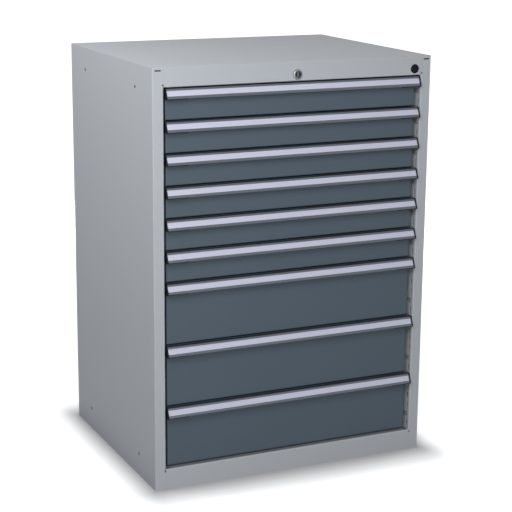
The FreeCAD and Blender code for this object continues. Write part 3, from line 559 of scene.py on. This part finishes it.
# %% [markdown]
# ## Finishes on the CAD nodes
#
# A CAD node keeps its mesh and only gets a better finish in its material slots. Each could be
# dressed in a line of its own; a table of names and finishes shows at a glance what every piece
# is made of.

# %% Dress the nodes
HOUSING = [
    "side_panel_left", "side_panel_right", "back_panel", "top_panel", "base_panel",
    "header_panel", "plinth_panel", "uprights_left", "uprights_right",
]
FINISHES = {name: housing_paint for name in HOUSING}
FINISHES.update(
    plinth_panel=plinth_paint,
    side_panel_left=side_paint,
    side_panel_right=side_paint,
    slide_rails_left=rail_zinc,
    slide_rails_right=rail_zinc,
    lock_cylinder=lock_chrome,
    lock_plug=lock_chrome,
    locking_bar=zinc_along_z,
    blanking_plug=plug_plastic,
)
for number in DRAWERS:
    FINISHES[f"drawer_{number}_box"] = drawer_paint
    FINISHES[f"drawer_{number}_handle"] = anodised
    FINISHES[f"drawer_{number}_label"] = label_paper
    FINISHES[f"drawer_{number}_end_caps"] = cap_plastic
    FINISHES[f"drawer_{number}_slide_bars"] = zinc_along_y
for name, material in FINISHES.items():
    slots = nodes[name].data.materials
    slots.clear()
    slots.append(material)
print("dressed", len(FINISHES), "of", len(nodes), "nodes")

# %% [markdown]
# ## New pieces
#
# The missing pieces could be written as lists of points, but operators show each step as it would
# be done by hand. So a piece starts as a primitive at its real size. Everything is deselected
# first, because operators act on all that is selected. At the end its place goes into its mesh,
# like that of the CAD nodes, and its curved faces are shaded smooth.

# %% Start and finish a piece
SMOOTH_BELOW = math.radians(35)


def deselect():
    """Leaves edit mode if need be, and selects nothing."""
    if bpy.context.mode != "OBJECT":
        bpy.ops.object.mode_set(mode="OBJECT")
    bpy.ops.object.select_all(action="DESELECT")


def only(piece):
    """Makes one object the selected and active one."""
    deselect()
    piece.select_set(True)
    bpy.context.view_layer.objects.active = piece


def settled(name=None):
    """Moves the active object's place, turn and scale into its mesh, and may name it."""
    piece = bpy.context.object
    if name:
        piece.name = name
    bpy.ops.object.transform_apply(location=True, rotation=True, scale=True)
    return piece


def smooth(piece):
    """Shades a piece smooth except across its sharper edges."""
    only(piece)
    bpy.ops.object.shade_smooth_by_angle(angle=SMOOTH_BELOW)
    return piece


def paint(piece, material):
    """Gives a piece its finish."""
    piece.data.materials.clear()
    piece.data.materials.append(material)
    return piece


# %% [markdown]
# ### Turned pieces
#
# Caps, rollers and the lock's ring are round. They could be stacked from cylinders, but then
# their steps and noses would be loose shells. So each starts as a circle, which is pulled along
# its axis and resized step by step, like a shape on a lathe. A profile is a list of radius and
# place along the axis, in millimetres.

# %% The lathe
TURNS = {"X": (0, math.pi / 2, 0), "-X": (0, -math.pi / 2, 0), "-Y": (math.pi / 2, 0, 0)}


def turned(name, centre, axis, profile, sides, bored=False):
    """A turned piece along an axis; in a bored one the last circle is joined to the first."""
    deselect()
    steps = [(radius * MM, place * MM) for radius, place in profile]
    radius, place = steps[0]
    bpy.ops.mesh.primitive_circle_add(
        vertices=sides, radius=radius, fill_type="NOTHING" if bored else "NGON",
        location=(0, 0, place),
    )
    piece = settled(name)
    bpy.ops.object.mode_set(mode="EDIT")
    bpy.ops.mesh.select_mode(type="VERT")
    bpy.ops.mesh.select_all(action="SELECT")
    for next_radius, next_place in steps[1:]:
        step = (0, 0, next_place - place)
        bpy.ops.mesh.extrude_region_move(TRANSFORM_OT_translate={"value": step})
        ratio = next_radius / radius
        bpy.ops.transform.resize(value=(ratio, ratio, 1))
        radius, place = next_radius, next_place
    if bored:
        bpy.ops.mesh.select_all(action="DESELECT")
        bpy.ops.mesh.select_mode(type="EDGE")
        bpy.ops.mesh.select_non_manifold()
        bpy.ops.mesh.bridge_edge_loops()
    bpy.ops.mesh.select_all(action="SELECT")
    bpy.ops.mesh.normals_make_consistent(inside=False)
    bpy.ops.object.mode_set(mode="OBJECT")
    piece.rotation_euler = TURNS[axis]
    piece.location = centre
    settled()
    return smooth(piece)


# %% [markdown]
# ### Caps in the joining holes
#
# Four holes in each side panel take bolts to the next cabinet. In the photograph they are black:
# a dished plastic cap sits just inside each one. One cap is turned, and the rest are copies with
# their own mesh, because an array would tie them to one modifier. Mirroring turns a mesh inside
# out, so a mirrored copy has its normals recalculated.

# %% Joining-hole caps
JOIN_ACROSS, JOIN_END = 352 * MM, 55 * MM
CAP_IN = 1.4 * MM  # a cap's rim, from the panel's outer face
CAP_PROFILE = [
    (3.2, -5), (3.9, -4.6), (4.1, -3.4), (4.15, 0), (4.15, 0.8), (3.7, 1.0), (3.4, 0.6),
    (1.2, 0.45), (0.2, 0.4),
]
middle_y = (flange_y + back_y) / 2


def join(pieces, name):
    """Makes one object of several."""
    deselect()
    for piece in pieces:
        piece.select_set(True)
    bpy.context.view_layer.objects.active = pieces[0]
    bpy.ops.object.join()
    joined = bpy.context.object
    joined.name = name
    return joined


def edit_all(piece):
    """Opens a piece in edit mode with all of it selected."""
    only(piece)
    bpy.ops.object.mode_set(mode="EDIT")
    bpy.ops.mesh.select_all(action="SELECT")


def copy_to(piece, name, shift=(0, 0, 0), mirror=False):
    """A copy with its own mesh, moved by a shift, or mirrored to the cabinet's other side."""
    double = piece.copy()
    double.data = piece.data.copy()
    double.name = name
    scene.collection.objects.link(double)
    only(double)
    if mirror:
        double.scale.x = -1
    double.location = shift
    settled()
    if mirror:
        edit_all(double)
        bpy.ops.mesh.normals_make_consistent(inside=False)
        bpy.ops.object.mode_set(mode="OBJECT")
    return double


def joining_caps():
    """Four caps in each side panel; the first sits low and in front."""
    first = (-half_wide + CAP_IN, middle_y - JOIN_ACROSS / 2, JOIN_END)
    cap = turned("joining_caps_left", first, "-X", CAP_PROFILE, sides=24)
    rise = high - 2 * JOIN_END
    places = [(JOIN_ACROSS, 0), (0, rise), (JOIN_ACROSS, rise)]
    caps = [cap]
    for number, (y, z) in enumerate(places):
        caps.append(copy_to(cap, f"cap {number}", (0, y, z)))
    left = join(caps, "joining_caps_left")
    right = copy_to(left, "joining_caps_right", mirror=True)
    for piece in (left, right):
        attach(paint(piece, plug_plastic), "cabinet")
    return left


print("joining caps:", len(joining_caps().data.polygons), "faces on each side")

# %% [markdown]
# ### Slot inserts
#
# Near the top of each front flange is a small slot. A black insert fills it. A dark patch in the
# paint would do from the front, but an insert with rounded edges also catches light from aside.

# %% Slot inserts
BEVEL_ABOVE = math.radians(40)
SLOT_IN, SLOT_DROP = 13.5 * MM, 8 * MM  # the slot's middle, from the side and from the top


def cube(name, low, top):
    """A box between two corners."""
    deselect()
    low, top = Vector(low), Vector(top)
    bpy.ops.mesh.primitive_cube_add(size=1, location=(low + top) / 2, scale=top - low)
    return settled(name)


def rounded(piece, width, segments=2):
    """Rounds the sharp edges of a piece."""
    only(piece)
    bevel = piece.modifiers.new("rounding", "BEVEL")
    bevel.width = width
    bevel.segments = segments
    bevel.limit_method = "ANGLE"
    bevel.angle_limit = BEVEL_ABOVE
    bpy.ops.object.modifier_apply(modifier=bevel.name)


def beside(place, x, y, z):
    """A point that lies some millimetres from a place."""
    return place + Vector((x, y, z)) * MM


def slot_inserts():
    """One insert in each front flange."""
    slot = Vector((half_wide - SLOT_IN, flange_y, high - SLOT_DROP))
    right = cube("slot_insert_right", beside(slot, -7.3, 0.5, -1.35), beside(slot, 7.3, 3, 1.35))
    rounded(right, 0.4 * MM)
    left = copy_to(right, "slot_insert_left", mirror=True)
    for piece in (left, right):
        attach(paint(smooth(piece), plug_plastic), "cabinet")
    print("slot inserts at", in_short(slot))


slot_inserts()

# %% [markdown]
# ### Drain inserts as painted shade
#
# The plinth's fold has a small three-cornered notch near each end. A black insert lies in it; its
# black is painted shade, standing for the dark inside of the notch. A cylinder with three sides
# would have the wrong corners, so it starts as a box whose two front corners are merged to a tip;
# its upper face is inset and pressed in.

# %% Drain inserts
DRAIN_IN, DRAIN_WIDE = 29.5 * MM, 10 * MM  # from the side, and across
DRAIN_FRONT, DRAIN_DEEP = 2.7 * MM, 6 * MM  # from the flange's face, and front to back
DRAIN_PLAY = 0.2 * MM


def pick(piece, kind, test):
    """Opens a piece in edit mode, and selects faces or vertices by their place and normal."""
    only(piece)
    bpy.ops.object.mode_set(mode="EDIT")
    bpy.ops.mesh.select_mode(type=kind)
    bpy.ops.mesh.select_all(action="DESELECT")
    mesh = bmesh.from_edit_mesh(piece.data)
    for part in mesh.faces if kind == "FACE" else mesh.verts:
        place = part.calc_center_median() if kind == "FACE" else part.co
        if test(place, part.normal):
            part.select_set(True)
    mesh.select_flush_mode()
    bmesh.update_edit_mesh(piece.data)


def drain_shade_inserts():
    """One black insert near each end of the plinth, as painted shade in its notch."""
    outer = half_wide - DRAIN_IN
    inner = outer - DRAIN_WIDE
    front = flange_y + DRAIN_FRONT
    rear = front + DRAIN_DEEP
    right = cube(
        "drain_shade_insert_right",
        (inner + DRAIN_PLAY, front, plinth_high - 2.6 * MM),
        (outer - DRAIN_PLAY, rear - DRAIN_PLAY, plinth_high + 0.3 * MM),
    )
    halfway = plinth_high - 1 * MM
    for low, top in ((0, halfway), (halfway, 1)):
        pick(
            right, "VERT",
            lambda place, normal: place.y < front + 1 * MM and low < place.z < top,
        )
        bpy.ops.mesh.merge(type="CENTER")
        bpy.ops.object.mode_set(mode="OBJECT")
    pick(right, "FACE", lambda place, normal: normal.z > 0.9)
    bpy.ops.mesh.inset(thickness=0.8 * MM)
    bpy.ops.transform.translate(value=(0, 0, -0.8 * MM))
    bpy.ops.object.mode_set(mode="OBJECT")
    rounded(right, 0.15 * MM)
    left = copy_to(right, "drain_shade_insert_left", mirror=True)
    # painted shade: the black finish stands for the dark inside of each notch
    for piece in (left, right):
        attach(paint(smooth(piece), plug_plastic), "cabinet")
    print("drain inserts between", round(inner, 4), "and", round(outer, 4))


drain_shade_inserts()

# %% [markdown]
# ### Lock ring
#
# The lock's rim gets a turned satin ring with a rounded nose, blackened inside. Two rings could
# have a finish each, but one closed ring whose inner faces have the second finish shows no gap.

# %% Lock ring
HOLE_DROP = 30.5 * MM  # the header's holes, below the top
LOCK = Vector((0, flange_y, high - HOLE_DROP))
RING_PROFILE = [
    (12.1, 0), (12.1, 0.9), (11.8, 1.9), (11.2, 2.9), (10.4, 3.6), (9.4, 3.9), (8.4, 3.8),
    (7.7, 3.4), (7.2, 2.6), (7.2, 0),
]
RING_DARK = 9.7 * MM  # the ring is dark inside this radius


def lock_ring():
    """The satin ring; its inner faces get the dark finish."""
    ring = turned("lock_ring", LOCK, "-Y", RING_PROFILE, sides=48, bored=True)
    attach(paint(ring, lock_chrome), "cabinet")
    ring.data.materials.append(lock_dark)
    for side in ring.data.polygons:
        if (side.center - LOCK).xz.length < RING_DARK:
            side.material_index = 1


lock_ring()
print("lock at", in_short(LOCK))

# %% [markdown]
# ### Lock face
#
# The plug's face is a dark disc with the key slot cut through it. A black mark could stand for
# the slot, but a real cut has depth when the camera moves. Round it lies a thin bright frame: a
# flat box whose front and back are inset and bridged. Both pieces turn with the plug.

# %% Lock face
def disc(name, centre, radius, depth, sides):
    """A short cylinder whose axis runs along Y."""
    deselect()
    bpy.ops.mesh.primitive_cylinder_add(
        vertices=sides, radius=radius, depth=depth, location=centre, rotation=(math.pi / 2, 0, 0)
    )
    return settled(name)


def lock_face():
    """The dark disc, with the key slot cut out."""
    face = disc("lock_face", beside(LOCK, 0, -2.85, 0), 6.9 * MM, 0.5 * MM, sides=48)
    slot = cube("slot", beside(LOCK, -0.9, -5, -4), beside(LOCK, 0.9, 2, 4))
    only(face)
    carve = face.modifiers.new("key slot", "BOOLEAN")
    carve.operation = "DIFFERENCE"
    carve.object = slot
    bpy.ops.object.modifier_apply(modifier=carve.name)
    bpy.data.objects.remove(slot)
    rounded(face, 0.12 * MM)
    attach(paint(smooth(face), lock_dark), "lock_plug")


def key_slot_frame():
    """The bright frame: a flat box, whose front and back are inset and bridged."""
    rim = cube("key_slot_frame", beside(LOCK, -1.7, -3.3, -4.9), beside(LOCK, 1.7, -3.05, 4.9))
    pick(rim, "FACE", lambda place, normal: abs(normal.y) > 0.9)
    bpy.ops.mesh.inset(thickness=0.7 * MM)
    bpy.ops.mesh.bridge_edge_loops()
    bpy.ops.object.mode_set(mode="OBJECT")
    rounded(rim, 0.08 * MM)
    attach(paint(smooth(rim), lock_chrome), "lock_plug")


lock_face()
key_slot_frame()
print("the face turns with", nodes["lock_plug"].name)

# %% [markdown]
# ### Blanking plug
#
# The second hole in the header is closed by a black plug. Its head is slightly dished and has a
# soft edge; four ribs grip the sheet from behind. The plain CAD plug can't be reshaped, so a
# turned one with ribs stands in its place.

# %% Blanking plug
plug_low, plug_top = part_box("blanking_plug")
BLANK = Vector(((plug_low.x + plug_top.x) / 2, flange_y, high - HOLE_DROP))
PLUG_PROFILE = [
    (7.4, -8), (8.8, -8), (9.2, -7.4), (9.25, 0), (10.8, 0), (11.0, 0.25), (11.0, 0.55),
    (10.6, 1.0), (9.9, 1.19), (9.2, 1.1), (8.6, 0.85), (4, 0.75), (0.2, 0.75),
]


def blanking_plug():
    """The turned head and body with four ribs, in place of the plain CAD plug."""
    plug = turned("blanking_plug_moulded", BLANK, "-Y", PLUG_PROFILE, sides=48)
    rib = cube("rib", beside(BLANK, -1.2, 1.7, 8.8), beside(BLANK, 1.2, 6, 9.9))
    rounded(rib, 0.4 * MM)
    ribs = [rib]
    for quarter in (1, 2, 3):
        double = copy_to(rib, f"rib {quarter}")
        edit_all(double)
        angle = quarter * math.pi / 2
        bpy.ops.transform.rotate(value=angle, orient_axis="Y", center_override=BLANK)
        bpy.ops.object.mode_set(mode="OBJECT")
        ribs.append(double)
    whole = join([plug] + ribs, "blanking_plug_moulded")
    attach(paint(whole, plug_plastic), "cabinet")
    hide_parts("blanking_plug")


blanking_plug()
print("blanking plug at", in_short(BLANK))

# %% [markdown]
# ### Rollers
#
# The solids draw each roller with twelve flat sides. Smooth shading would leave their outline
# flat, so a nylon tyre covers every one: round, with a raised hub and the head of its steel axle.
# The front rollers are fixed to the rails, the rear ones ride with the drawers. The sizes that a
# node's box doesn't show are given as in the CAD.

# %% Rollers
RAIL_SHEET = 1.5 * MM
SLIDE_SPACE = 26 * MM  # from a drawer's wall to an upright
SLIDE_LIFT = 36 * MM  # middle of a slide, above the front's lower edge
ROLLER_IN = 25 * MM  # a roller, from the end that it sits at
ROLLER_WIDE = 10.15  # in millimetres, like the profiles
TYRE_PROFILE = [
    (12.64, -ROLLER_WIDE), (12.64, 0.05), (10.6, 0.05), (10.2, 0.3), (5.6, 0.3), (5.2, 0.06),
    (3.2, 0.06),
]
AXLE_PROFILE = [(3.3, -0.2), (3.3, 0.2), (2.8, 0.42), (1.6, 0.5), (0.1, 0.5)]
upright_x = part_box("uprights_right")[0].x
wall_x = upright_x - SLIDE_SPACE
rail_y = drawer_box(1, "slide_bars")[0].y - RAIL_SHEET


def roller(x, y, axis):
    """A tyre whose free face is at x, with the head of its axle, at the height of zero."""
    tyre = turned("wheel", (x, y, 0), axis, TYRE_PROFILE, sides=40, bored=True)
    head = turned("axle", (x, y, 0), axis, AXLE_PROFILE, sides=20)
    paint(tyre, nylon)
    paint(head, axle_steel)
    return join([tyre, head], "wheel")


def slide_height(number):
    """The middle of a drawer's slide."""
    return drawer_box(number, "box")[0].z + SLIDE_LIFT


def rail_rollers():
    """One tyre near the front end of each fixed rail."""
    first = roller(upright_x - RAIL_SHEET - ROLLER_WIDE * MM, rail_y + ROLLER_IN, "-X")
    wheels = [
        copy_to(first, f"wheel {number}", (0, 0, slide_height(number))) for number in DRAWERS
    ]
    bpy.data.objects.remove(first)
    right = join(wheels, "rail_rollers_right")
    left = copy_to(right, "rail_rollers_left", mirror=True)
    for piece in (left, right):
        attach(piece, "cabinet")


def drawer_rollers():
    """Two tyres near the rear end of each drawer."""
    rear = drawer_box(1, "box")[1].y
    right = roller(wall_x + RAIL_SHEET + ROLLER_WIDE * MM, rear - ROLLER_IN, "X")
    left = copy_to(right, "wheel left", mirror=True)
    pair = join([right, left], "pair of wheels")
    for number in DRAWERS:
        piece = copy_to(pair, f"drawer_{number}_rollers", (0, 0, slide_height(number)))
        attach(piece, f"drawer_{number}")
    bpy.data.objects.remove(pair)


rail_rollers()
drawer_rollers()
print("rollers for", len(DRAWERS), "drawers, whose walls are", round(wall_x, 4), "m out")

# %% [markdown]
# ### Rolled rims
#
# The upper edges of a drawer's tray are rolled, so that no hand meets a sharp sheet. The CAD edge
# can't be bevelled, because its mesh stays as it is. So a bead lies over it, along both sides and
# across the back: three bars with strongly rounded edges.

# %% Rolled rims
DRAWER_SHEET = 1 * MM
WALL_DROP = 14 * MM  # a drawer's walls, below the front's upper edge
RIM = 4 * MM  # width of the rim on those walls
BEAD = 0.9 * MM  # half of the bead's thickness
BEAD_ROUND = 0.7 * MM
BEAD_START = 30 * MM  # where the side beads begin, behind the flanges


def rolled_rims():
    """The beads of one tray, copied to every drawer at its own height."""
    top = drawer_box(1, "box")[1]
    edge = top.z - WALL_DROP - DRAWER_SHEET / 2
    middle_x, rear_y = wall_x + RIM, top.y - DRAWER_SHEET / 2
    side = cube(
        "rim",
        (middle_x - BEAD, flange_y + BEAD_START, edge - BEAD),
        (middle_x + BEAD, top.y, edge + BEAD),
    )
    rounded(side, BEAD_ROUND, 3)
    other = copy_to(side, "rim left", mirror=True)
    rear = cube(
        "rim rear",
        (-middle_x, rear_y - BEAD, edge - BEAD),
        (middle_x, rear_y + BEAD, edge + BEAD),
    )
    rounded(rear, BEAD_ROUND, 3)
    whole = smooth(join([side, other, rear], "rims"))
    paint(whole, drawer_paint)
    for number in DRAWERS:
        shift = drawer_box(number, "box")[1].z - top.z
        piece = copy_to(whole, f"drawer_{number}_rims", (0, 0, shift))
        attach(piece, f"drawer_{number}")
    bpy.data.objects.remove(whole)


rolled_rims()
print("rims at", round(wall_x + RIM, 4), "m from the middle")

# %% [markdown]
# ## Floor, light and camera
#
# The cabinet stands in a pale studio. Stronger lamps could whiten the floor, but they would bleach
# the paint as well. So the floor is white for the camera and in gloss only, and dark for other
# light. Towards the cabinet's foot a painted shadow takes that white away: the seen colour and the
# glow fall off softly there, as in shade where hardly any light reaches into the corner.

# %% Floor
FLOOR_SIZE = 60
# the second colour is painted shadow: the floor's seen colour right at the cabinet's foot
FLOOR_SEEN, FLOOR_PAINTED_SHADOW = (0.9, 0.9, 0.9, 1), (0.5, 0.5, 0.5, 1)
FLOOR_BOUNCE = (0.15, 0.15, 0.155, 1)
CORNER, NEAR, FAR = 0.11, 0.8, 3.0  # distances from the foot at which the floor changes
GLOW, GLOW_AWAY = 0.55, 0.45  # glow beyond the corner, and what is added from NEAR to FAR
SIDEWAYS = 1.7  # how much more a distance to the sides counts


def distance_from_foot(tree, place):
    """How far a point of the floor is from the foot; to the sides the distance counts more."""
    offset = vector_node(tree, "ABSOLUTE", vector_node(tree, "SUBTRACT", place, (0, middle_y, 0)))
    foot = (half_wide, (back_y - flange_y) / 2, 0)
    outside = vector_node(tree, "MAXIMUM", vector_node(tree, "SUBTRACT", offset, foot))
    return vector_node(tree, "LENGTH", vector_node(tree, "MULTIPLY", outside, (SIDEWAYS, 1, 1)))


def seen_directly(tree):
    """One for rays from the camera and in gloss, zero for all others."""
    rays = tree.nodes.new("ShaderNodeLightPath").outputs
    return math_node(tree, "MAXIMUM", rays["Is Camera Ray"], rays["Is Glossy Ray"])


def studio_floor():
    """A wide plane, white where seen and dark for other light, with a painted shadow at the foot.
    """
    deselect()
    bpy.ops.mesh.primitive_plane_add(size=FLOOR_SIZE, location=(0, 0, 0))
    floor = bpy.context.object
    floor.name = "floor"
    material, tree, shader, place = finish("studio floor", roughness=0.9, specular=0.1)
    seen = seen_directly(tree)
    distance = distance_from_foot(tree, place)
    # painted shadow: near the foot the seen colour darkens and the glow fades to nothing
    clear = spread(tree, distance, 0, CORNER, 0, 1)
    visible = mix_colour(tree, clear, FLOOR_PAINTED_SHADOW, FLOOR_SEEN)
    glow = add(
        tree,
        spread(tree, distance, 0, CORNER, 0, GLOW),
        spread(tree, distance, NEAR, FAR, 0, GLOW_AWAY),
    )
    set_inputs(tree, shader, {
        "Base Color": mix_colour(tree, seen, FLOOR_BOUNCE, visible),
        "Emission Color": WHITE,
        "Emission Strength": times(tree, seen, glow),
    })
    floor.data.materials.append(material)


studio_floor()
print(f"floor of {FLOOR_SIZE} m, darker within {CORNER} m of the foot")

# %% [markdown]
# The world shows above the floor's far edge. A white one would light the paint from all round,
# so it is white only where it is seen directly, and gives a dim, slightly cool light otherwise.

# %% Background
AMBIENT, AMBIENT_COLOUR = 0.2, (0.94, 0.99, 1.07, 1)


def studio_world():
    """White where it is seen directly, and a dim, slightly blue sky for other light."""
    world = bpy.data.worlds.new("studio")
    scene.world = world
    world.use_nodes = True
    tree = world.node_tree
    seen = seen_directly(tree)
    set_inputs(tree, tree.nodes["Background"], {
        "Strength": add(tree, AMBIENT, times(tree, seen, 1.0 - AMBIENT)),
        "Color": mix_colour(tree, seen, AMBIENT_COLOUR, WHITE),
    })


studio_world()
print("background of", AMBIENT, "for light that isn't seen directly")

# %% [markdown]
# A sun would give hard shadows, so all lamps are soft squares. One large softbox stands in front,
# to the left and above, and a second one low down lifts the plinth and the undersides of the
# handles. Two small lamps stand close to the left side; their light falls off towards the right
# and towards the foot, as in the photograph. Two fills light the back and the right side, which
# the camera doesn't see; they stand lower than the top and behind the fronts, so the view from
# the front keeps its light.

# %% Lamps
AIM = Vector((0, 0, 0.6))
LAMPS = [  # name, place, width in metres and watts
    ("front softbox", (-0.9, -2.2, 2.0), 1.2, 21),
    ("low front fill", (-0.9, -3.0, 0.5), 1.2, 24),
    ("left lamp", (-0.9, -1.2, 1.4), 0.6, 5.2),
    ("side lamp", (-1.1, 0.1, 1.7), 0.6, 6.4),
    ("rear fill", (0.6, 3.0, 0.35), 1.1, 50),
    ("right fill", (2.6, 0.6, 0.35), 1.1, 34),
]
for name, place, wide, watts in LAMPS:
    deselect()
    bpy.ops.object.light_add(type="AREA", location=place)
    light = bpy.context.object
    light.name = name
    light.data.size = wide
    light.data.energy = watts
    light.rotation_euler = (AIM - Vector(place)).to_track_quat("-Z", "Y").to_euler()
    light.visible_camera = False
    print(f"{name}: {watts} W, {(AIM - Vector(place)).length:.2f} m away")

# %% [markdown]
# The camera could be placed by eye. It was found from the cabinet's own corners in the photograph
# instead: it stands 25 degrees to the left, looks down by 13.9 degrees, and leans by half a
# degree. Its place is given from the cabinet's middle, aside, above and away along its own axes.

# %% Camera
FRAME_PIXELS, FOCAL_PIXELS, SENSOR = 512, 1466, 36
AZIMUTH, ELEVATION, ROLL = (math.radians(angle) for angle in (-25.13, 13.92, 0.51))
ASIDE, ABOVE, AWAY = 29.3 * MM, -25.9 * MM, 3743 * MM
middle = Vector((0, middle_y, high / 2))
back = Vector((
    math.sin(AZIMUTH) * math.cos(ELEVATION),
    -math.cos(AZIMUTH) * math.cos(ELEVATION),
    math.sin(ELEVATION),
))
right = Vector((math.cos(AZIMUTH), math.sin(AZIMUTH), 0))
up = back.cross(right)
turned_right = right * math.cos(ROLL) + up * math.sin(ROLL)
turned_up = up * math.cos(ROLL) - right * math.sin(ROLL)
lens = bpy.data.cameras.new("camera")
lens.sensor_width = SENSOR
lens.lens = SENSOR * FOCAL_PIXELS / FRAME_PIXELS
lens.clip_end = 100
camera = bpy.data.objects.new("camera", lens)
scene.collection.objects.link(camera)
turn = Matrix((turned_right, turned_up, back)).transposed().to_4x4()
place = middle + back * AWAY + right * ASIDE + up * ABOVE
camera.matrix_world = Matrix.Translation(place) @ turn
scene.camera = camera
scene.view_settings.view_transform = "Standard"
print(f"lens {lens.lens:.1f} mm at", in_short(place))
